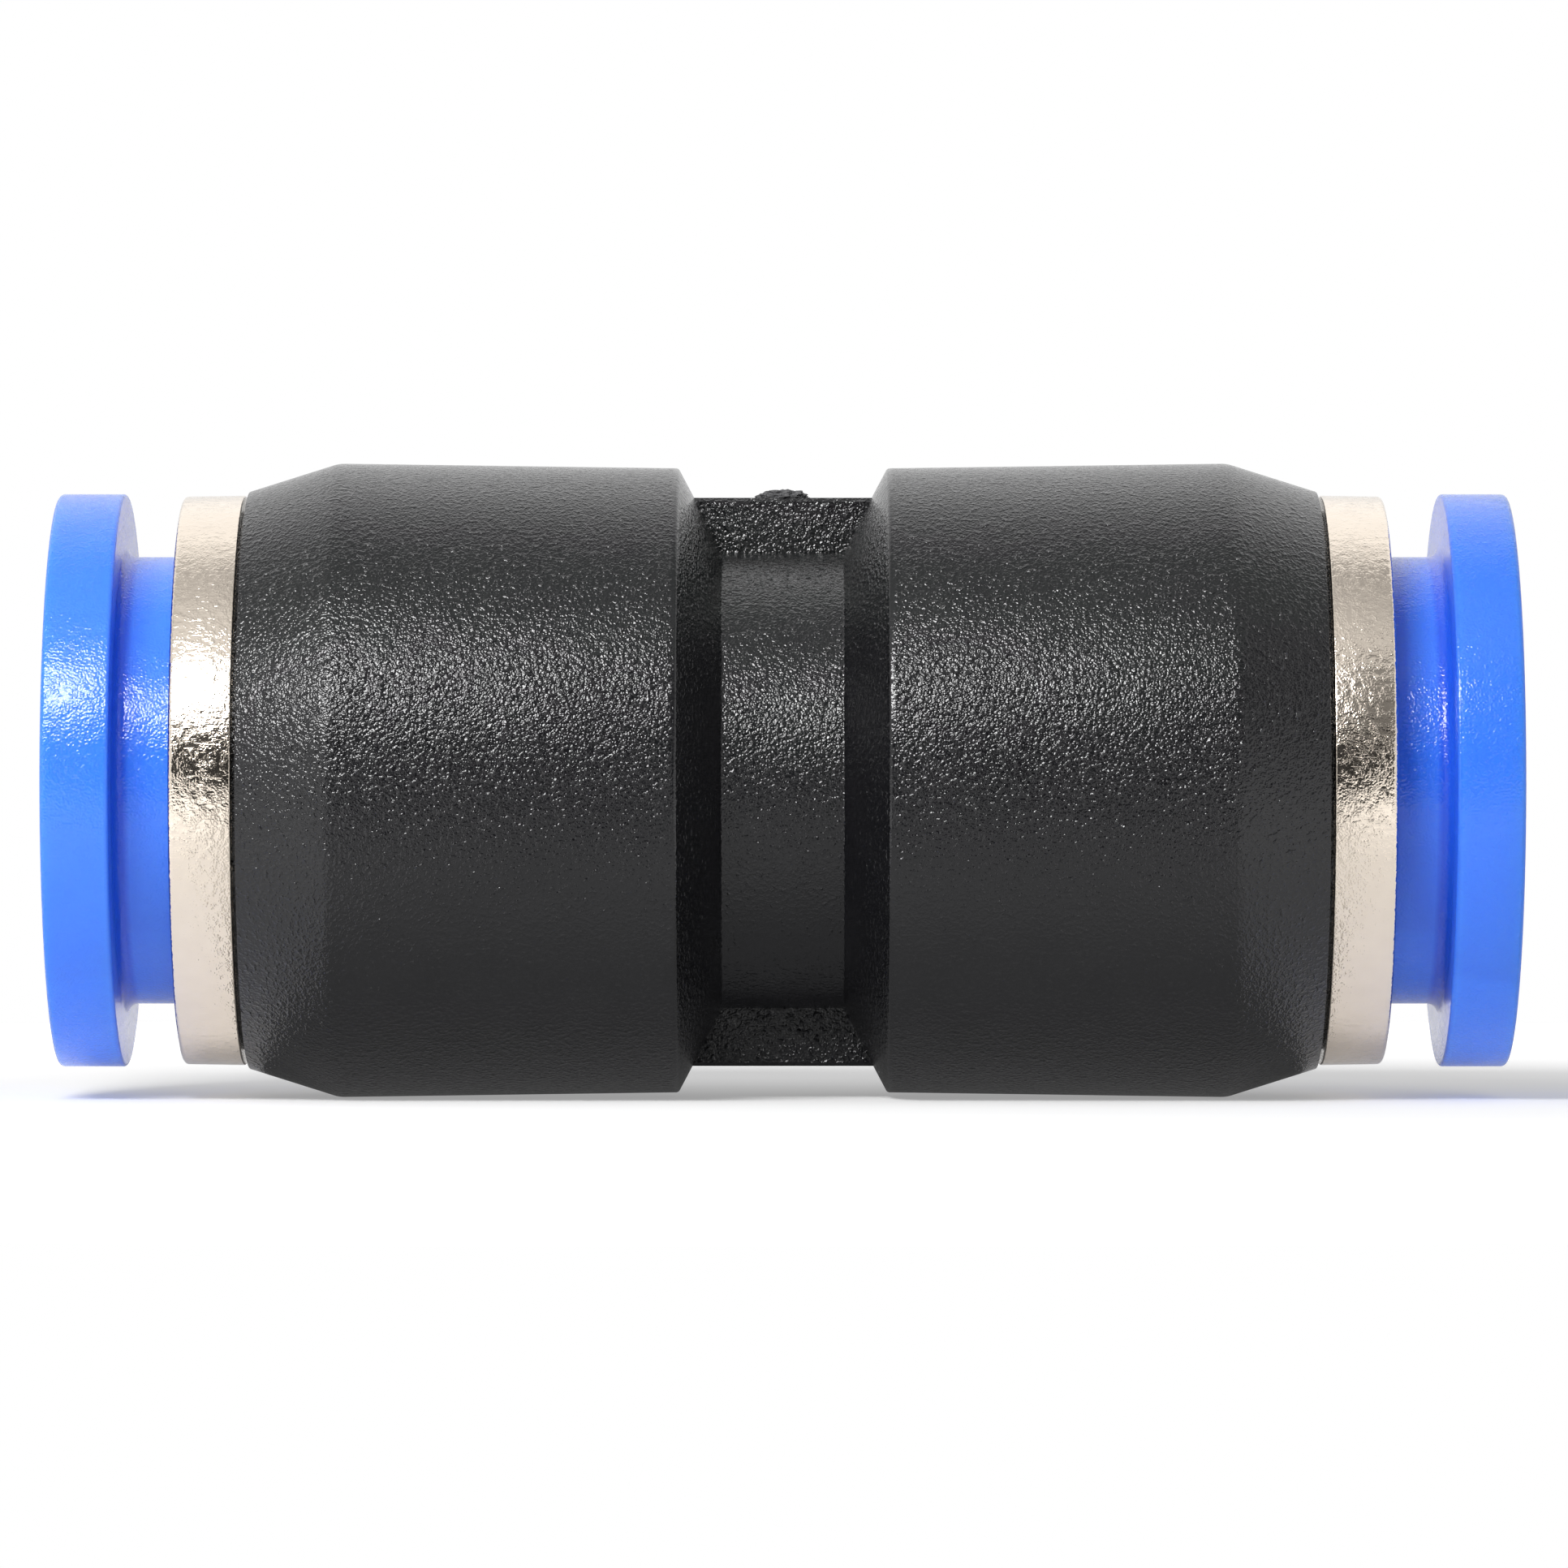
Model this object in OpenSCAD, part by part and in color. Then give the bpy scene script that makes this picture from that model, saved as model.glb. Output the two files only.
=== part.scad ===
// Straight push-fit coupling for plastic air tube.
// The tube axis is X, and the middle of the coupling is the origin. Every turned piece is drawn as
// the outline of its right-hand half section, [distance from the middle, radius, corner radius],
// and the pieces of the left end are the mirror image of those of the right end.

/* [Tube] */
// Outside diameter of the tube that pushes in
tube_d = 12; // [11.6:0.1:12.1]
// Diameter of the air way through the middle stop
air_way_d = 9.2; // [6:0.1:10.4]
// Thickness of the middle stop that the tube ends rest on
stop_w = 4.6; // [3:0.1:6]

/* [Body] */
// Length of the moulded body between its end faces
body_l = 34.7; // [33:0.1:42]
// Largest diameter of each barrel, at its outer end
barrel_d = 20.5; // [20.4:0.1:24]
// Diameter of each barrel beside the waist, after the mould draft
barrel_waist_d = 20.1; // [19:0.1:20.4]
// Diameter of the body's end faces
body_end_d = 18.66; // [18.5:0.02:19.5]
// Length of the taper at each end of the body
taper_l = 2.9; // [1.5:0.1:5]
// Diameter of the waist
waist_d = 14.8; // [14.2:0.1:17]
// Width of the waist at its bottom
waist_w = 3.9; // [2:0.1:4.5]
// Width of the waist at its mouth
waist_mouth_w = 6.74; // [5.5:0.02:9]
// Height across the two ribs that bridge the waist
rib_span = 18.42; // [15.6:0.02:19.8]
// Thickness of a rib
rib_t = 1.6; // [0.8:0.1:3]

/* [Guide ring] */
// Diameter of the ring that shows beyond the body
ring_d = 18.42; // [18:0.02:18.6]
// Width of the ring that shows beyond the body
ring_w = 2; // [1:0.1:3]
// Number of barbs that bite into the body
barb_count = 3; // [1:1:4]

/* [Release sleeve] */
// Diameter of the sleeve's flange
flange_d = 18.5; // [17:0.1:19]
// Thickness of the sleeve's flange
flange_t = 2.15; // [1.2:0.05:3]
// Wall between the sleeve's bore and its neck
sleeve_wall = 1.07; // [1:0.01:1.07]
// How far the sleeve can be pushed in
travel = 1.85; // [1:0.05:1.9]
// Number of slots that let the sleeve snap into the ring
slot_count = 4; // [2:1:6]

/* [Grab ring] */
// Number of teeth that hold the tube
tooth_count = 16; // [8:1:20]
// How far each tooth tip stands inside the tube's surface
tooth_bite = 0.22; // [0.05:0.01:0.4]
// Thickness of the spring steel
claw_t = 0.3; // [0.2:0.01:0.3]

/* [Seal] */
// Thickness of the seal ring's section
seal_t = 2.1; // [1.8:0.05:2.15]

/* [Hidden] */

round_fn = 96;
bead_fn = 48;
corner_steps = 4;

// Gaps between pieces: beside the tube, round what turns or slides, and end to end.
tube_gap = 0.1;
run_gap = 0.1;
end_gap = 0.03;

// Radii, from the tube outwards.
tube_r = tube_d / 2;
tooth_tip_r = tube_r - tooth_bite;
socket_r = tube_r + tube_gap;
support_bore_r = socket_r + 0.1;
sleeve_bore_r = socket_r + 0.05;
neck_r = sleeve_bore_r + sleeve_wall;
ring_bore_r = neck_r + run_gap;
tooth_root_r = 7.6;
snap_r = ring_bore_r + 0.5;
undercut_r = snap_r + 0.13;
gland_r = 8.05;
cavity_r = 8.3;
skirt_r = 8.4;
seat_r = 8.5;
barb_bite = 0.05;

// Distances from the middle.
socket_floor = stop_w / 2;
body_end = body_l / 2;
ring_end = body_end + ring_w;
flange_in = ring_end + travel;
flange_out = flange_in + flange_t;
ring_foot = body_end - 5.12;
shoulder = ring_end - 3.9;
snap_back = shoulder - 0.05;
claw_out = ring_foot - end_gap;
claw_in = claw_out - claw_t;
support_out = claw_in - end_gap;
support_in = body_end - 8.15;
gland_in = support_in - 2.2;
sleeve_nose = ring_foot + 0.37;
barrel_edge = body_end - taper_l;

function unit(v) = v / norm(v);

// Points of the arc of radius f that rounds the corner b of the path a, b, c.
function corner_arc(a, b, c, f) =
    let (
        u = unit(a - b),
        v = unit(c - b),
        half = acos(u * v) / 2,
        centre = b + unit(u + v) * f / sin(half),
        start = b + u * f / tan(half) - centre,
        end = b + v * f / tan(half) - centre,
        from = atan2(start[1], start[0]),
        swing = (atan2(end[1], end[0]) - from + 540) % 360 - 180
    )
    [for (i = [0:corner_steps])
        let (t = from + swing * i / corner_steps) centre + f * [cos(t), sin(t)]];

function place(p) = [p[0], p[1]];

// An outline's points, with each corner rounded to the radius that stands third in its entry.
function rounded(outline) =
    let (n = len(outline))
    [for (i = [0:n - 1])
        let (
            before = place(outline[(i + n - 1) % n]),
            here = place(outline[i]),
            after = place(outline[(i + 1) % n]),
            f = outline[i][2]
        )
        each (f > 0 ? corner_arc(before, here, after, f) : [here])];

// The same outline on the other side of the middle.
function mirrored(outline) =
    [for (i = [len(outline) - 1:-1:0]) [-outline[i][0], outline[i][1], outline[i][2]]];

// An outline turned about the tube axis.
module turned(outline) {
    rotate([0, 90, 0])
        rotate_extrude($fn = round_fn)
            polygon([for (p = rounded(outline)) [p[1], p[0]]]);
}

// Straight slots from the tube axis out to a radius, spread evenly round a piece.
module slots(count, first_angle, width, from_x, to_x, outer_r) {
    for (i = [0:count - 1])
        rotate([first_angle + 360 * i / count, 0, 0])
            translate([from_x, -width / 2, 0])
                cube([to_x - from_x, width, outer_r]);
}

module at_left() {
    mirror([1, 0, 0]) children();
}

// ---------- moulded body ----------

body_outside = [
    [waist_w / 2, waist_d / 2, 0.1],
    [waist_mouth_w / 2, barrel_waist_d / 2, 0.2],
    [barrel_edge, barrel_d / 2, 1.6],
    [body_end, body_end_d / 2, 0.08]
];

body_inside = [
    [body_end, seat_r, 0],
    [ring_foot, seat_r, 0],
    [ring_foot, cavity_r, 0],
    [support_in, cavity_r, 0],
    [support_in, gland_r, 0],
    [gland_in, gland_r, 0],
    [gland_in, socket_r, 0.15],
    [socket_floor, socket_r, 0],
    [socket_floor, air_way_d / 2, 0.2]
];

rib_top = rib_span / 2;
rib_chamfer = 0.12;

module rib() {
    rib_draft = 0.1;
    root_sunk = 0.5;
    end_sunk = 0.17;
    top_half = rib_t / 2;
    root_half = top_half + rib_draft;
    root = waist_d / 2 - root_sunk;
    rotate([90, 0, 90])
        linear_extrude(waist_mouth_w - 2 * end_sunk, center = true)
            polygon([
                [-root_half, root],
                [root_half, root],
                [top_half, rib_top - rib_chamfer],
                [top_half - rib_chamfer, rib_top],
                [rib_chamfer - top_half, rib_top],
                [-top_half, rib_top - rib_chamfer]
            ]);
}

// What is left of the moulding gate on the upper rib.
module gate_stub() {
    half_w = 0.9;
    h = 0.29;
    arc_r = (half_w * half_w + h * h) / (2 * h);
    translate([0, 0, rib_top + h - arc_r])
        rotate([90, 0, 0])
            cylinder(h = rib_t - 2 * rib_chamfer, r = arc_r, center = true, $fn = round_fn);
}

module housing() {
    color("#2b2b2d") {
        turned(concat(mirrored(body_outside), body_outside, body_inside, mirrored(body_inside)));
        rib();
        mirror([0, 0, 1]) rib();
        gate_stub();
    }
}

// ---------- the pieces of one end, drawn at the right ----------

// Saw teeth along the ring's skirt, steep on the side of the body's end face.
function barbs() =
    let (
        first = ring_foot + 0.5,
        pitch = (body_end - 0.6 - first) / barb_count,
        peak = 0.7 * pitch,
        foot = 0.75 * pitch
    )
    [for (i = [0:barb_count - 1])
        let (x = first + i * pitch)
        each [
            [x, skirt_r, 0],
            [x + peak, seat_r + barb_bite, 0],
            [x + foot, skirt_r, 0]
        ]];

module guide_ring() {
    face_draft = 0.05;
    mouth_chamfer = 0.2;
    color("#d6c9ba")
        turned(concat(
            [[ring_foot, undercut_r, 0], [ring_foot, skirt_r, 0]],
            barbs(),
            [
                [body_end, skirt_r, 0],
                [body_end, ring_d / 2, 0.12],
                [ring_end, ring_d / 2 - face_draft, 0.45],
                [ring_end, ring_bore_r + mouth_chamfer, 0],
                [ring_end - mouth_chamfer, ring_bore_r, 0],
                [shoulder, ring_bore_r, 0],
                [shoulder, undercut_r, 0]
            ]
        ));
}

module release_sleeve() {
    nose_wall = 0.4;
    nose_l = 1.2;
    finger_r = neck_r - 0.1;
    snap_ramp = 1.4;
    snap_step = 0.1;
    mouth_chamfer = 0.6;
    slot_w = 0.9;
    slot_over = 1;
    slot_past_shoulder = 1.6;
    color("#2f73f2")
        difference() {
            turned([
                [sleeve_nose, sleeve_bore_r, 0],
                [sleeve_nose, sleeve_bore_r + nose_wall, 0.1],
                [sleeve_nose + nose_l, finger_r, 0],
                [snap_back - snap_step - snap_ramp, finger_r, 0],
                [snap_back - snap_step, snap_r, 0.05],
                [snap_back, neck_r, 0],
                [flange_in, neck_r, 0.26],
                [flange_in, flange_d / 2, 0.15],
                [flange_out, flange_d / 2, 0.45],
                [flange_out, sleeve_bore_r + mouth_chamfer, 0.1],
                [flange_out - mouth_chamfer, sleeve_bore_r, 0.2]
            ]);
            slots(
                slot_count,
                180 / slot_count,
                slot_w,
                sleeve_nose - slot_over,
                shoulder + slot_past_shoulder,
                snap_r + slot_over
            );
        }
}

module grab_ring() {
    tooth_drop = 1.25;
    slot_w = 0.5;
    slot_r = tooth_root_r - 0.1;
    root = [claw_out, tooth_root_r];
    tip = [claw_out - tooth_drop, tooth_tip_r];
    along = unit(tip - root);
    thick = claw_t * [along[1], -along[0]];
    back_tip = tip + thick;
    back_root_r = back_tip[1] + (claw_in - back_tip[0]) * along[1] / along[0];
    color("#b9bcc0")
        difference() {
            turned([
                [claw_out, cavity_r - run_gap / 2, 0],
                [root[0], root[1], 0],
                [tip[0], tip[1], 0],
                [back_tip[0], back_tip[1], 0],
                [claw_in, back_root_r, 0],
                [claw_in, cavity_r - run_gap / 2, 0]
            ]);
            slots(tooth_count, 0, slot_w, claw_in - 2 * tooth_drop, claw_out + tooth_drop, slot_r);
        }
}

module tooth_support() {
    land_w = 0.6;
    color("#e6e4dc")
        turned([
            [support_in, support_bore_r, 0.1],
            [support_in, cavity_r - run_gap / 2, 0],
            [support_out, cavity_r - run_gap / 2, 0],
            [support_out, tooth_root_r + 0.15, 0],
            [support_in + land_w, support_bore_r, 0.1]
        ]);
}

module seal_ring() {
    outer_gap = 0.08;
    seal_r = seal_t / 2;
    color("#1d1d1e")
        rotate([0, 90, 0])
            rotate_extrude($fn = round_fn)
                translate([gland_r - outer_gap - seal_r, (gland_in + support_in) / 2])
                    circle(r = seal_r, $fn = bead_fn);
}

housing();
at_left() guide_ring();  // left_guide_ring
at_left() release_sleeve();  // left_release_sleeve
at_left() grab_ring();  // left_grab_ring
at_left() tooth_support();  // left_tooth_support
at_left() seal_ring();  // left_seal_ring
guide_ring();  // right_guide_ring
release_sleeve();  // right_release_sleeve
grab_ring();  // right_grab_ring
tooth_support();  // right_tooth_support
seal_ring();  // right_seal_ring
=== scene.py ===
"""A straight push-fit coupling for 12 mm air tube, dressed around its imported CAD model.

Every turned piece is drawn as the outline of its right-hand half section, in entries of (distance
from the middle, radius, corner radius) in millimetres, and turned about the tube axis, X. The
pieces of the left end are the mirror image of those of the right end.
"""

import math

import bmesh
import bpy
from mathutils import Matrix, Vector, noise


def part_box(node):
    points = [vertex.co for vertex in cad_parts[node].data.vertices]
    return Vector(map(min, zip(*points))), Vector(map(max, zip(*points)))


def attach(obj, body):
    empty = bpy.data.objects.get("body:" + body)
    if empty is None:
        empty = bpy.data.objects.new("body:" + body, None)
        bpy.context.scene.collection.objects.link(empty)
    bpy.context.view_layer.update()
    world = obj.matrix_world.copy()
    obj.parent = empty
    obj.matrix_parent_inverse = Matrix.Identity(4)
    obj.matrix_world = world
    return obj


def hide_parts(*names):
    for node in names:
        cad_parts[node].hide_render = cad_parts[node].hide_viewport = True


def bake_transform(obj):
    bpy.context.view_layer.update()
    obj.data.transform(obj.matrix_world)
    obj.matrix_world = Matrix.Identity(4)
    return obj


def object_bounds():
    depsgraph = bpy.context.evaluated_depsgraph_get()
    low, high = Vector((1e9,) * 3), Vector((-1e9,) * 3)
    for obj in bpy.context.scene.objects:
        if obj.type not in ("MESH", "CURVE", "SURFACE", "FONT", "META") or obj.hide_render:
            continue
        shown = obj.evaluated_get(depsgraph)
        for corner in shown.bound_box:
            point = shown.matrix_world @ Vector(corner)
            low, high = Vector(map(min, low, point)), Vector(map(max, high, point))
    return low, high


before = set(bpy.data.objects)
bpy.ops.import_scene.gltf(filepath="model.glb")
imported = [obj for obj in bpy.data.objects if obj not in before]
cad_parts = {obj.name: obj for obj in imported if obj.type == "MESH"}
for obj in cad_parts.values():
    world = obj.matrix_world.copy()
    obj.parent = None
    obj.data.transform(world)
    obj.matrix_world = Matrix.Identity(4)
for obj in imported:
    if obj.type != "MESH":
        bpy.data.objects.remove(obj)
cad_low, cad_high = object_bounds()

MM = 0.001
ENDS = {"left": -1, "right": 1}

# ---------- sizes in millimetres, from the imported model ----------


def reach(node):
    """The lowest and highest corner of a CAD node, in millimetres."""
    low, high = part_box(node)
    return low / MM, high / MM


body_high = reach("housing")[1]
ring_low, ring_high = reach("right_guide_ring")
sleeve_low, sleeve_high = reach("right_release_sleeve")
claw_high = reach("right_grab_ring")[1]
support_low, support_high = reach("right_tooth_support")
seal_low, seal_high = reach("right_seal_ring")

BARREL_R = body_high.z
BODY_END = body_high.x
RING_FOOT = ring_low.x
RING_END = ring_high.x
RING_R = ring_high.z
SLEEVE_NOSE = sleeve_low.x
FLANGE_OUT = sleeve_high.x
FLANGE_R = sleeve_high.z
CLAW_OUT = claw_high.x

# ---------- sizes in millimetres that the nodes' boxes don't show ----------

TUBE_R = 6.0
SOCKET_R = TUBE_R + 0.1
SLEEVE_BORE_R = SOCKET_R + 0.05
SUPPORT_BORE_R = SOCKET_R + 0.1
NECK_R = SLEEVE_BORE_R + 1.07
RING_BORE_R = NECK_R + 0.1
SNAP_R = RING_BORE_R + 0.5
UNDERCUT_R = SNAP_R + 0.13
SEAT_R = 8.5
CAVITY_R = 8.3
IN_CAVITY_R = CAVITY_R - 0.05
GLAND_R = 8.05
AIR_WAY_R = 4.6

FLANGE_IN = FLANGE_OUT - 2.15
SHOULDER = RING_END - 3.9
GLAND_OUT = 9.2
GLAND_IN = 7.0
STOP_HALF = 2.3

# The outside of the housing, and of the upper (1) and the lower (-1) rib across its waist.
WAIST_R = 7.4
WAIST_HALF = 1.95
MOUTH_R = 10.09
MOUTH_HALF = 3.37
TAPER_L = 3.02
TAPER_END_R = 9.33
RIB_TOPS = {1: 9.12, -1: 9.22}
RIB_HALF_T = 0.8

# The dark line between the body and the ring, and how far its floor stays off the ring.
RING_GAP = 0.13
GAP_FLOOR_R = 8.7
GAP_FLOOR_BACK = 0.01

# ---------- meshes ----------

CORNER_STEPS = 8
OUTER_SEGMENTS = 320
INNER_SEGMENTS = 192
SHARP_ANGLE = math.radians(35)


def corner_arc(before, here, after, radius):
    """Points of the arc that rounds one corner of an outline."""
    before, here, after = Vector(before), Vector(here), Vector(after)
    u = (before - here).normalized()
    v = (after - here).normalized()
    half = math.acos(max(-1.0, min(1.0, u.dot(v)))) / 2
    centre = here + (u + v).normalized() * radius / math.sin(half)
    start = here + u * radius / math.tan(half) - centre
    end = here + v * radius / math.tan(half) - centre
    first = math.atan2(start.y, start.x)
    swing = (math.atan2(end.y, end.x) - first + 3 * math.pi) % (2 * math.pi) - math.pi
    angles = [first + swing * i / CORNER_STEPS for i in range(CORNER_STEPS + 1)]
    return [centre + radius * Vector((math.cos(a), math.sin(a))) for a in angles]


def rounded(outline):
    """An outline's points, with each corner rounded to the radius that stands third in its entry."""
    points = []
    for i, (x, r, radius) in enumerate(outline):
        before = outline[i - 1][:2]
        after = outline[(i + 1) % len(outline)][:2]
        if radius > 0:
            points += corner_arc(before, (x, r), after, radius)
        else:
            points.append(Vector((x, r)))
    return points


def mirrored(outline):
    """The same outline on the left of the middle."""
    return [(-x, r, radius) for x, r, radius in reversed(outline)]


def split_long(points, longest):
    """The same closed outline with no stretch longer than a given length."""
    out = []
    for a, b in zip(points, points[1:] + points[:1]):
        parts = max(1, math.ceil((b - a).length / longest))
        out += [a.lerp(b, i / parts) for i in range(parts)]
    return out


def shade(mesh):
    """Shades a mesh smooth, but for its sharp edges."""
    mesh.shade_smooth()
    mesh.set_sharp_from_angle(angle=SHARP_ANGLE)


def make_object(name, bm):
    """Turns a bmesh in millimetres into an object in metres."""
    bmesh.ops.recalc_face_normals(bm, faces=bm.faces)
    bmesh.ops.scale(bm, vec=(MM, MM, MM), verts=bm.verts)
    mesh = bpy.data.meshes.new(name)
    bm.to_mesh(mesh)
    bm.free()
    shade(mesh)
    obj = bpy.data.objects.new(name, mesh)
    bpy.context.scene.collection.objects.link(obj)
    return obj


def turned_bmesh(points, side, segments):
    """A closed outline turned about X, on the right (side 1) or the left (side -1)."""
    bm = bmesh.new()
    rings = []
    for k in range(segments):
        a = 2 * math.pi * k / segments
        c, s = math.cos(a), math.sin(a)
        rings.append([bm.verts.new((side * p.x, p.y * s, p.y * c)) for p in points])
    count = len(points)
    for k in range(segments):
        here, there = rings[k], rings[(k + 1) % segments]
        for i in range(count):
            j = (i + 1) % count
            bm.faces.new((here[i], here[j], there[j], there[i]))
    return bm


def turned(name, outline, side=1, segments=OUTER_SEGMENTS, longest=None):
    """An outline of entries turned about X, with no stretch longer than longest if that is given."""
    points = rounded(outline)
    if longest:
        points = split_long(points, longest)
    return make_object(name, turned_bmesh(points, side, segments))


def cut(obj, cutter):
    """Takes cutter out of obj and deletes it."""
    modifier = obj.modifiers.new("cut", "BOOLEAN")
    modifier.operation = "DIFFERENCE"
    modifier.solver = "MANIFOLD"
    modifier.object = cutter
    bpy.context.view_layer.update()
    evaluated = obj.evaluated_get(bpy.context.evaluated_depsgraph_get())
    mesh = bpy.data.meshes.new_from_object(evaluated)
    obj.modifiers.clear()
    obj.data = mesh
    bpy.data.objects.remove(cutter)
    shade(mesh)


def radial_slots(side, count, first_deg, width, x_span, outer_r):
    """Boxes from the axis out to outer_r, spread evenly round the axis."""
    low, high = sorted(side * x for x in x_span)
    bm = bmesh.new()
    for i in range(count):
        made = bmesh.ops.create_cube(bm, size=1)["verts"]
        bmesh.ops.scale(bm, vec=(high - low, width, outer_r), verts=made)
        bmesh.ops.translate(bm, vec=((low + high) / 2, 0, outer_r / 2), verts=made)
        turn = Matrix.Rotation(math.radians(first_deg + 360 * i / count), 3, "X")
        bmesh.ops.rotate(bm, matrix=turn, verts=made)
    return make_object("slots", bm)


# ---------- shader nodes ----------


def object_coords(tree):
    """Each point's place in the object's own axes."""
    return tree.nodes.new("ShaderNodeTexCoord").outputs["Object"]


def axis(tree, vector, name):
    """One of the numbers X, Y and Z of a vector."""
    node = tree.nodes.new("ShaderNodeSeparateXYZ")
    tree.links.new(vector, node.inputs[0])
    return node.outputs[name]


def map_range(tree, value, from_low, from_high, to_low, to_high):
    """A value remapped from one range to another, and held inside it."""
    node = tree.nodes.new("ShaderNodeMapRange")
    limits = {"From Min": from_low, "From Max": from_high, "To Min": to_low, "To Max": to_high}
    for socket, number in limits.items():
        node.inputs[socket].default_value = number
    tree.links.new(value, node.inputs["Value"])
    return node.outputs["Result"]


def maths(tree, operation, a, b):
    """The result of an operation on two values, each a number or an output."""
    node = tree.nodes.new("ShaderNodeMath")
    node.operation = operation
    for socket, value in zip(node.inputs, (a, b)):
        if isinstance(value, (int, float)):
            socket.default_value = value
        else:
            tree.links.new(value, socket)
    return node.outputs[0]


class Surface:
    """A Principled material that is put together from procedural textures in object space.

    It starts from a plain base colour and roughness. Where a texture is set on either socket later,
    the plain value is about the texture's mean.
    """

    def __init__(self, name, base, roughness, **sockets):
        self.material = bpy.data.materials.new(name)
        self.material.use_nodes = True
        self.tree = self.material.node_tree
        self.shader = self.tree.nodes["Principled BSDF"]
        self.shader.inputs["Base Color"].default_value = (*base, 1)
        self.shader.inputs["Roughness"].default_value = roughness
        for socket, value in sockets.items():
            self.shader.inputs[socket.replace("_", " ")].default_value = value
        self.coords = object_coords(self.tree)

    def set(self, socket, value):
        self.tree.links.new(value, self.shader.inputs[socket])

    def stretched(self, stretch):
        """Object coordinates scaled by a factor along each axis."""
        node = self.tree.nodes.new("ShaderNodeMapping")
        node.inputs["Scale"].default_value = stretch
        self.tree.links.new(self.coords, node.inputs["Vector"])
        return node.outputs["Vector"]

    def noise(self, size_mm, detail=2.0, vector=None):
        """Smooth noise with about size_mm from one crest to the next."""
        node = self.tree.nodes.new("ShaderNodeTexNoise")
        node.inputs["Scale"].default_value = 2 / (size_mm * MM)
        node.inputs["Detail"].default_value = detail
        self.tree.links.new(vector or self.coords, node.inputs["Vector"])
        return node.outputs["Fac"]

    def cells(self, size_mm):
        """The distance from the middle of the nearest of many cells about size_mm across."""
        node = self.tree.nodes.new("ShaderNodeTexVoronoi")
        node.inputs["Scale"].default_value = 1 / (size_mm * MM)
        self.tree.links.new(self.coords, node.inputs["Vector"])
        return node.outputs["Distance"]

    def spread(self, value, from_low, from_high, to_low, to_high):
        return map_range(self.tree, value, from_low, from_high, to_low, to_high)

    def wander(self, size_mm, low, high, detail=2.0, swing=0.2):
        """A number that wanders from low to high; with less swing it stays longer at either end."""
        return self.spread(self.noise(size_mm, detail), 0.5 - swing, 0.5 + swing, low, high)

    def maths(self, operation, a, b):
        return maths(self.tree, operation, a, b)

    def tint(self, value, low, high):
        """A colour between two, each a tuple or an output."""
        node = self.tree.nodes.new("ShaderNodeMix")
        node.data_type = "RGBA"
        colour_a, colour_b, colour_out = node.inputs[6], node.inputs[7], node.outputs[2]
        for socket, colour in ((colour_a, low), (colour_b, high)):
            if isinstance(colour, tuple):
                socket.default_value = (*colour, 1)
            else:
                self.tree.links.new(colour, socket)
        self.tree.links.new(value, node.inputs["Factor"])
        return colour_out

    def band(self, middle_mm, full_mm, none_mm):
        """1 near the two planes at that distance from the middle, and 0 from none_mm away."""
        outwards = self.maths("ABSOLUTE", axis(self.tree, self.coords, "X"), 0)
        away = self.maths("ABSOLUTE", self.maths("SUBTRACT", outwards, middle_mm * MM), 0)
        return self.spread(away, full_mm * MM, none_mm * MM, 1, 0)

    def relief(self, height, depth_mm, under=None):
        """A bump of that depth, on top of another bump if there is one."""
        node = self.tree.nodes.new("ShaderNodeBump")
        node.inputs["Distance"].default_value = depth_mm * MM
        self.tree.links.new(height, node.inputs["Height"])
        if under:
            self.tree.links.new(under, node.inputs["Normal"])
        self.set("Normal", node.outputs["Normal"])
        return node.outputs["Normal"]


# ---------- the part's materials ----------


def moulded_black(name, grain_mm, grain_depth_mm):
    """Black glass-filled plastic with the grain of a spark-eroded mould, fainter at the waist's edges."""
    s = Surface(name, (0.005, 0.005, 0.006), 0.15, IOR=1.5)
    s.set("Base Color", s.tint(s.noise(3.0, detail=3), (0.003, 0.003, 0.004), (0.007, 0.007, 0.008)))
    s.set("Roughness", s.wander(grain_mm * 2, 0.08, 0.18))
    waist_edge = s.band(MOUTH_HALF + 0.04, 0.05, 0.14)
    away_from_edge = s.maths("SUBTRACT", 1, s.maths("MULTIPLY", waist_edge, 0.6))
    deeper = s.wander(grain_mm * 2.5, 0.2, 2.8)
    craters = s.maths("MULTIPLY", s.maths("POWER", s.cells(grain_mm), 2), deeper)
    coarse = s.relief(s.maths("MULTIPLY", craters, away_from_edge), grain_depth_mm)
    fine = s.maths("MULTIPLY", s.noise(grain_mm * 0.85, detail=0), away_from_edge)
    s.relief(fine, grain_depth_mm * 1.3, under=coarse)
    return s.material


def torn_black(name):
    """The same plastic where it was torn off: dull, and greyer."""
    s = Surface(name, (0.05, 0.05, 0.053), 0.5)
    s.set("Base Color", s.tint(s.noise(0.12, detail=2), (0.012, 0.012, 0.013), (0.12, 0.12, 0.125)))
    s.relief(s.noise(0.12, detail=1), 0.03)
    return s.material


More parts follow.
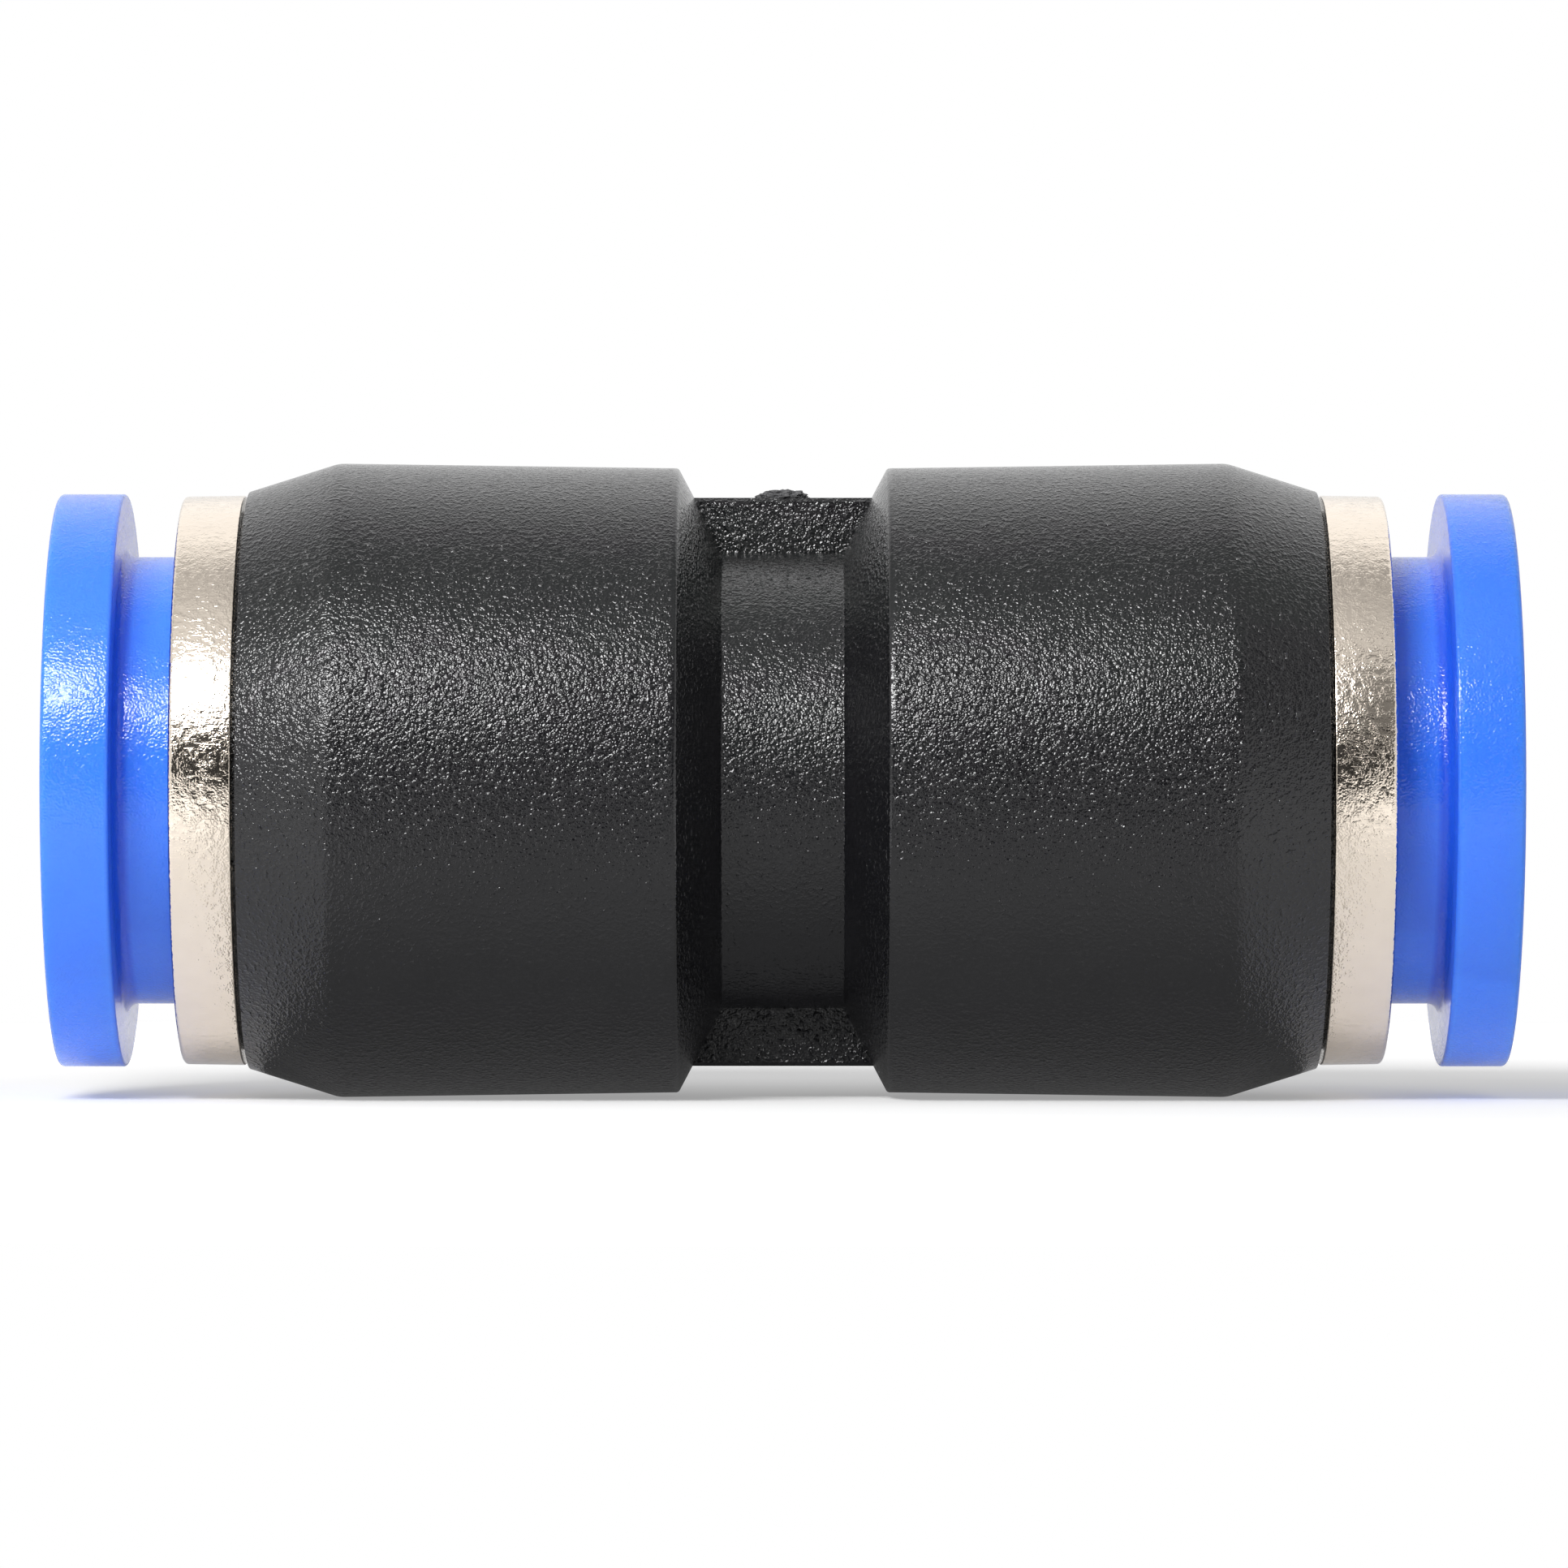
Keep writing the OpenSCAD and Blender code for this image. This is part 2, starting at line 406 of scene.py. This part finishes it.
def nickel(name):
    """Nickel plating over a die-cast ring: a tumbled skin, with a few tool marks along the axis."""
    s = Surface(name, (0.75, 0.665, 0.57), 0.12, Metallic=1.0)
    s.set("Base Color", s.tint(s.noise(1.2, detail=4), (0.72, 0.635, 0.545), (0.78, 0.695, 0.595)))
    s.set("Roughness", s.wander(0.3, 0.08, 0.14))
    waves = s.relief(s.noise(0.4, detail=1), 0.008)
    marks = s.spread(s.noise(0.1, detail=1, vector=s.stretched((0.12, 1, 1))), 0.62, 0.75, 1, 0)
    mid_width = s.band(0.5 * (BODY_END + RING_END), 0.35, 0.6)
    lined = s.relief(s.maths("MULTIPLY", marks, mid_width), 0.003, under=waves)
    uneven = s.wander(0.5, 0.1, 1.1, swing=0.15)
    s.relief(s.maths("MULTIPLY", s.noise(0.125, detail=1), uneven), 0.014, under=lined)
    return s.material


def blue_plastic(name):
    """Blue moulded plastic, satin and slightly translucent, with a faint orange peel, and painted shade:
    a darker, deeper blue in the fold where the flange meets the neck.
    """
    s = Surface(
        name,
        (0.045, 0.207, 0.91),
        0.15,
        IOR=1.5,
        Subsurface_Weight=0.6,
        Subsurface_Scale=0.002,
        Subsurface_Radius=(0.4, 0.7, 1.0),
    )
    flow = s.tint(s.noise(2.5, detail=3), (0.041, 0.199, 0.9), (0.05, 0.22, 0.92))
    # Painted shade: the base colour turns a dark, deep blue in the fold between the flange and the neck,
    # where shade falls.
    fold = s.band(FLANGE_IN - 0.18, 0.14, 0.34)
    s.set("Base Color", s.tint(s.maths("MULTIPLY", fold, 0.75), flow, (0.01, 0.08, 0.7)))
    s.set("Roughness", s.wander(0.5, 0.12, 0.2))
    uneven = s.wander(0.6, 0.6, 1.4, swing=0.15)
    s.relief(s.maths("MULTIPLY", s.noise(0.15, detail=0), uneven), 0.014)
    return s.material


def strip_steel(name):
    """Bright stainless strip."""
    s = Surface(name, (0.62, 0.62, 0.63), 0.25, Metallic=1.0)
    s.set("Roughness", s.wander(0.2, 0.18, 0.34, detail=3))
    s.relief(s.noise(0.1, detail=2), 0.003)
    return s.material


def natural_plastic(name):
    """Moulded plastic without a pigment."""
    s = Surface(name, (0.72, 0.70, 0.64), 0.45)
    s.set("Base Color", s.tint(s.noise(1.5, detail=3), (0.68, 0.66, 0.60), (0.76, 0.74, 0.68)))
    s.relief(s.noise(0.15, detail=2), 0.004)
    return s.material


def seal_rubber(name):
    """Black rubber."""
    s = Surface(name, (0.02, 0.02, 0.02), 0.5)
    s.set("Roughness", s.wander(0.4, 0.4, 0.6, detail=3))
    s.relief(s.noise(0.12, detail=2), 0.004)
    return s.material


def dress(obj, material):
    """Gives an object its material."""
    obj.data.materials.clear()
    obj.data.materials.append(material)


# ---------- the housing ----------


def make_housing():
    """The moulded shell, from its waist to the seats of the guide rings."""
    outside = [
        (WAIST_HALF, WAIST_R, 0.1),
        (MOUTH_HALF, MOUTH_R, 0.14),
        (BODY_END - TAPER_L, BARREL_R, 1.2),
        (BODY_END - RING_GAP, TAPER_END_R, 0.04),
        (BODY_END - RING_GAP, GAP_FLOOR_R, 0),
        (BODY_END - GAP_FLOOR_BACK, GAP_FLOOR_R, 0),
    ]
    inside = [
        (BODY_END - GAP_FLOOR_BACK, SEAT_R, 0),
        (RING_FOOT, SEAT_R, 0),
        (RING_FOOT, CAVITY_R, 0),
        (GLAND_OUT, CAVITY_R, 0),
        (GLAND_OUT, GLAND_R, 0),
        (GLAND_IN, GLAND_R, 0),
        (GLAND_IN, SOCKET_R, 0.15),
        (STOP_HALF, SOCKET_R, 0),
        (STOP_HALF, AIR_WAY_R, 0.2),
    ]
    shell = turned("housing_shell", mirrored(outside) + outside + inside + mirrored(inside))
    dress(shell, BLACK)
    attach(shell, "body")
    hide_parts("housing")


def make_rib(name, up):
    """One of the two ribs that bridge the waist where the mould halves meet."""
    root = WAIST_R - 0.5
    root_half = RIB_HALF_T + 0.1
    top = RIB_TOPS[up]
    chamfer = 0.12
    half_l = MOUTH_HALF - 0.17
    section = [
        (-root_half, root),
        (root_half, root),
        (RIB_HALF_T, top - chamfer),
        (RIB_HALF_T - chamfer, top),
        (chamfer - RIB_HALF_T, top),
        (-RIB_HALF_T, top - chamfer),
    ]
    bm = bmesh.new()
    near, far = [[bm.verts.new((x, y, up * z)) for y, z in section] for x in (-half_l, half_l)]
    bm.faces.new(near)
    bm.faces.new(far)
    for i in range(len(section)):
        j = (i + 1) % len(section)
        bm.faces.new((near[i], near[j], far[j], far[i]))
    rib = make_object(name, bm)
    dress(rib, BLACK_COARSE)
    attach(rib, "body")


def make_gate_stub():
    """The torn stub of the moulding gate, on the upper rib."""
    half_l, half_w, half_h = 0.8, 0.62, 0.27
    bm = bmesh.new()
    bmesh.ops.create_icosphere(bm, subdivisions=5, radius=1)
    for v in bm.verts:
        lump = 1 + 0.22 * noise.noise(v.co * 3.1) + 0.12 * noise.noise(v.co * 9.0)
        v.co = Vector((v.co.x * half_l, v.co.y * half_w, v.co.z * half_h)) * lump
        v.co.z += RIB_TOPS[1]
    stub = make_object("gate_stub", bm)
    dress(stub, TORN)
    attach(stub, "body")


# ---------- the pieces of one end ----------


def barbs(skirt_r, count):
    """Saw teeth along the guide ring's skirt, steep on the side of the body's end face."""
    first = RING_FOOT + 0.5
    pitch = (BODY_END - 0.6 - first) / count
    entries = []
    for i in range(count):
        x = first + i * pitch
        entries += [(x, skirt_r, 0), (x + 0.7 * pitch, SEAT_R, 0), (x + 0.75 * pitch, skirt_r, 0)]
    return entries


def make_guide_ring(end, side):
    """The plated ring, whose barbed skirt sits in the body."""
    skirt_r = 8.4
    face = RING_END - 0.015  # the pushed-in flange stops just short of it
    bevel = 0.32
    outline = [
        (RING_FOOT, UNDERCUT_R, 0),
        (RING_FOOT, skirt_r, 0),
        *barbs(skirt_r, count=3),
        (BODY_END, skirt_r, 0),
        (BODY_END, RING_R, 0.06),
        (face, RING_R - 0.03, 0.16),
        (face, RING_BORE_R + bevel, 0),
        (face - bevel, RING_BORE_R, 0),
        (SHOULDER, RING_BORE_R, 0),
        (SHOULDER, UNDERCUT_R, 0),
    ]
    ring = turned(f"{end}_ring", outline, side)
    dress(ring, NICKEL)
    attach(ring, "body")
    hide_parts(f"{end}_guide_ring")


def make_sleeve(end, side):
    """The blue sleeve: a flange and a neck outside, and slotted snap fingers inside."""
    finger_r = NECK_R - 0.1
    snap_back = SHOULDER - 0.05
    lead_in = 0.6
    outline = [
        (SLEEVE_NOSE, SLEEVE_BORE_R, 0),
        (SLEEVE_NOSE, SLEEVE_BORE_R + 0.4, 0.1),
        (SLEEVE_NOSE + 1.2, finger_r, 0),
        (snap_back - 1.5, finger_r, 0),
        (snap_back - 0.1, SNAP_R, 0.05),
        (snap_back, NECK_R, 0),
        (FLANGE_IN, NECK_R, 0.38),
        (FLANGE_IN, FLANGE_R, 0.1),
        (FLANGE_OUT, FLANGE_R, 0.16),
        (FLANGE_OUT, SLEEVE_BORE_R + lead_in, 0.1),
        (FLANGE_OUT - lead_in, SLEEVE_BORE_R, 0.2),
    ]
    slot_span = (SLEEVE_NOSE - 1, SHOULDER + 1.6)
    sleeve = turned(f"{end}_sleeve_body", outline, side)
    cut(sleeve, radial_slots(side, 4, 45, width=0.9, x_span=slot_span, outer_r=SNAP_R + 1))
    dress(sleeve, BLUE)
    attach(sleeve, f"{end}_sleeve")
    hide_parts(f"{end}_release_sleeve")


def make_grab_ring(end, side):
    """A thin ring cut into sixteen teeth, whose tips lean in towards the middle."""
    thick = 0.3
    root_r = 7.6
    tip_r = TUBE_R - 0.22
    drop = 1.25
    lean = math.hypot(drop, root_r - tip_r)
    slope = (root_r - tip_r) / drop
    claw_in = CLAW_OUT - thick
    tip_x = CLAW_OUT - drop
    back_x = tip_x - thick * (root_r - tip_r) / lean
    back_r = tip_r + thick * drop / lean
    outline = [
        (CLAW_OUT, IN_CAVITY_R, 0),
        (CLAW_OUT, root_r, 0),
        (tip_x, tip_r, 0),
        (back_x, back_r, 0),
        (claw_in, back_r + (claw_in - back_x) * slope, 0),
        (claw_in, IN_CAVITY_R, 0),
    ]
    gap_span = (CLAW_OUT - 3, CLAW_OUT + 1)
    ring = turned(f"{end}_claw", outline, side, INNER_SEGMENTS, longest=0.25)
    cut(ring, radial_slots(side, 16, 0, width=0.5, x_span=gap_span, outer_r=root_r - 0.1))
    dress(ring, STEEL)
    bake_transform(ring)
    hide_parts(f"{end}_grab_ring")


def make_tooth_support(end, side):
    """The plastic ring behind the teeth, hollowed by a cone that they fold into."""
    face = support_high.x - 0.22  # leaves room for the teeth when they are folded back
    cone_r = 7.78
    land = 0.45
    outline = [
        (support_low.x, SUPPORT_BORE_R, 0.1),
        (support_low.x, IN_CAVITY_R, 0.05),
        (face, IN_CAVITY_R, 0.05),
        (face, cone_r, 0),
        (support_low.x + land, SUPPORT_BORE_R, 0.1),
    ]
    support = turned(f"{end}_support", outline, side, INNER_SEGMENTS)
    dress(support, NATURAL)
    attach(support, "body")
    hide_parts(f"{end}_tooth_support")


def make_seal(end, side):
    """The rubber ring that seals on the tube, round in section."""
    steps = 48
    section_r = (seal_high.x - seal_low.x) / 2
    middle_x = (seal_high.x + seal_low.x) / 2
    middle_r = seal_high.z - section_r
    angles = [2 * math.pi * i / steps for i in range(steps)]
    section = [
        Vector((middle_x + section_r * math.cos(a), middle_r + section_r * math.sin(a))) for a in angles
    ]
    seal = make_object(f"{end}_seal", turned_bmesh(section, side, INNER_SEGMENTS))
    dress(seal, RUBBER)
    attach(seal, "body")
    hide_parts(f"{end}_seal_ring")


# ---------- studio, in metres ----------

# The floor is lifted towards white where it is seen, and more so from FADE_FROM to FADE_TO.
FLOOR_R = 0.1
FADE_FROM = 0.03
FADE_TO = 0.08
LIFT_NEAR = 0.33
LIFT_FAR = 0.8

# The floor flags are just shorter than the housing, so that the rings still reflect the bare floor.
FLAG_W = 0.0346


def aim(obj, place, target):
    """Puts an object at a place and turns it to face a target."""
    obj.location = place
    direction = Vector(target) - Vector(place)
    obj.rotation_euler = direction.to_track_quat("-Z", "Y").to_euler()


def from_front(elevation_deg, distance, right):
    """A place at an elevation seen from the object, and to the right of its middle."""
    e = math.radians(elevation_deg)
    return (right, -distance * math.cos(e), distance * math.sin(e))


def add_camera():
    """The photograph's view: straight from the front, through a long lens."""
    camera = bpy.data.cameras.new("camera")
    camera.lens = 220
    camera.sensor_width = 36
    obj = bpy.data.objects.new("camera", camera)
    bpy.context.scene.collection.objects.link(obj)
    right, distance, up = 0.035 * MM, 310 * MM, -0.118 * MM
    aim(obj, (right, -distance, up), (right, 0, up))
    bpy.context.scene.camera = obj


def add_softbox(name, elevation_deg, distance, width, height, radiance, right=0.0, gloss=True):
    """A soft lamp of a given size and brightness that faces the object."""
    lamp = bpy.data.lights.new(name, "AREA")
    lamp.shape = "RECTANGLE"
    lamp.size, lamp.size_y = width, height
    lamp.energy = radiance * math.pi * width * height
    obj = bpy.data.objects.new(name, lamp)
    bpy.context.scene.collection.objects.link(obj)
    obj.visible_glossy = gloss
    aim(obj, from_front(elevation_deg, distance, right), (right, 0, 0))


def bare_material(name):
    """A material with no node but its output; also gives its node tree and the output's socket."""
    material = bpy.data.materials.new(name)
    material.use_nodes = True
    tree = material.node_tree
    tree.nodes.clear()
    return material, tree, tree.nodes.new("ShaderNodeOutputMaterial").inputs["Surface"]


def glow(tree, strength):
    """White light of a given strength."""
    node = tree.nodes.new("ShaderNodeEmission")
    tree.links.new(strength, node.inputs["Strength"])
    return node.outputs[0]


def lit_card(name, width, height, low, high, top=0.5):
    """A card that the camera doesn't see, but that shows in reflections.

    Its brightness runs from low at its lower edge, -0.5, to high at a given part of its height.
    """
    bm = bmesh.new()
    bmesh.ops.create_grid(bm, x_segments=1, y_segments=1, size=0.5 / MM)
    card = make_object(name, bm)
    card.scale = (width, height, 1)
    card.visible_camera = False
    card.visible_shadow = False
    material, tree, surface = bare_material(name)
    height_part = axis(tree, object_coords(tree), "Y")
    tree.links.new(glow(tree, map_range(tree, height_part, -0.5, top, low, high)), surface)
    card.data.materials.append(material)
    return card


def add_card(name, elevation_deg, distance, width, height, low, high, right=0.0):
    """A card that faces the object from a given elevation."""
    card = lit_card(name, width, height, low, high)
    aim(card, from_front(elevation_deg, distance, right), (right, 0, 0))


def add_floor_flag(name, forward, height, low, high, top):
    """A strip on the floor that shades it in the housing's reflections, and only there."""
    card = lit_card(name, FLAG_W, height, low, high, top)
    card.location = (0, -forward, cad_low.z + 0.005 * MM)
    card.visible_diffuse = False


def seen_directly(tree):
    """1 for what the camera sees straight, in a reflection or through glass, and otherwise 0."""
    path = tree.nodes.new("ShaderNodeLightPath")
    seen = path.outputs["Is Camera Ray"]
    for ray in ("Is Glossy Ray", "Is Transmission Ray"):
        seen = maths(tree, "MAXIMUM", seen, path.outputs[ray])
    return seen


def floor_material():
    """Pale from above, where it keeps shadows and turns white towards the edge; clear from below."""
    material, tree, surface = bare_material("floor")
    radius = tree.nodes.new("ShaderNodeVectorMath")
    radius.operation = "LENGTH"
    tree.links.new(object_coords(tree), radius.inputs[0])
    fade = map_range(tree, radius.outputs["Value"], FADE_FROM, FADE_TO, LIFT_NEAR, LIFT_FAR)
    lift = glow(tree, maths(tree, "MULTIPLY", fade, seen_directly(tree)))
    diffuse = tree.nodes.new("ShaderNodeBsdfDiffuse")
    diffuse.inputs["Color"].default_value = (0.7, 0.7, 0.7, 1)
    pale = tree.nodes.new("ShaderNodeAddShader")
    sides = tree.nodes.new("ShaderNodeNewGeometry")
    clear = tree.nodes.new("ShaderNodeBsdfTransparent")
    one_way = tree.nodes.new("ShaderNodeMixShader")
    for a, b in (
        (diffuse.outputs[0], pale.inputs[0]),
        (lift, pale.inputs[1]),
        (sides.outputs["Backfacing"], one_way.inputs[0]),
        (pale.outputs[0], one_way.inputs[1]),
        (clear.outputs[0], one_way.inputs[2]),
        (one_way.outputs[0], surface),
    ):
        tree.links.new(a, b)
    return material


def add_floor():
    """A round floor at the object's lowest point."""
    bm = bmesh.new()
    bmesh.ops.create_circle(bm, cap_ends=True, segments=96, radius=FLOOR_R / MM)
    floor = make_object("floor", bm)
    floor.location.z = cad_low.z
    floor.data.materials.append(floor_material())
    floor.visible_shadow = False


def set_world(ambient):
    """White where it is seen, and a plain ambient light for everything else."""
    world = bpy.data.worlds.new("world")
    bpy.context.scene.world = world
    world.use_nodes = True
    tree = world.node_tree
    tree.nodes.clear()
    background = tree.nodes.new("ShaderNodeBackground")
    background.inputs["Color"].default_value = (1, 1, 1, 1)
    strength = map_range(tree, seen_directly(tree), 0, 1, ambient, 1)
    out = tree.nodes.new("ShaderNodeOutputWorld")
    tree.links.new(strength, background.inputs["Strength"])
    tree.links.new(background.outputs[0], out.inputs["Surface"])


# ---------- the scene ----------

bpy.context.scene.view_settings.view_transform = "Standard"

BLACK = moulded_black("moulded_black", grain_mm=0.14, grain_depth_mm=0.015)
BLACK_COARSE = moulded_black("moulded_black_coarse", grain_mm=0.15, grain_depth_mm=0.02)
TORN = torn_black("torn_black")
NICKEL = nickel("nickel_plating")
BLUE = blue_plastic("blue_plastic")
STEEL = strip_steel("strip_steel")
NATURAL = natural_plastic("natural_plastic")
RUBBER = seal_rubber("seal_rubber")

add_camera()
make_housing()
make_rib("upper_rib", 1)
make_rib("lower_rib", -1)
make_gate_stub()
for end, side in ENDS.items():
    make_guide_ring(end, side)
    make_sleeve(end, side)
    make_grab_ring(end, side)
    make_tooth_support(end, side)
    make_seal(end, side)

# The lamps: elevation, distance, width, height and radiance.
add_softbox("key_softbox", 36, 0.18, 0.112, 0.052, 22.5, right=-0.074)
add_softbox("back_softbox", 132, 0.6, 0.8, 0.5, 0.3)
add_softbox("light_table", -75, 0.2, 0.4, 0.3, 1.25, gloss=False)

# The cards: elevation, distance, width, height, and brightness at the lower and upper edge.
add_card("camera_flag", 7, 0.6, 0.35, 0.28, 0.03, 0.05)
add_card("left_ceiling", 75, 0.5, 0.6, 0.42, 1.05, 0.52, right=-0.3)
add_card("right_ceiling", 75, 0.5, 0.6, 0.42, 0.8, 0.4, right=0.3)
add_card("right_card", 33, 0.5, 0.5, 0.3, 0.15, 0.35, right=0.27)

add_floor()
add_floor_flag("floor_flag", forward=0, height=0.036, low=0.85, high=0.1, top=0.0)
add_floor_flag("front_flag", forward=0.0565, height=0.077, low=0.45, high=0.8, top=0.5)
set_world(ambient=0.2)
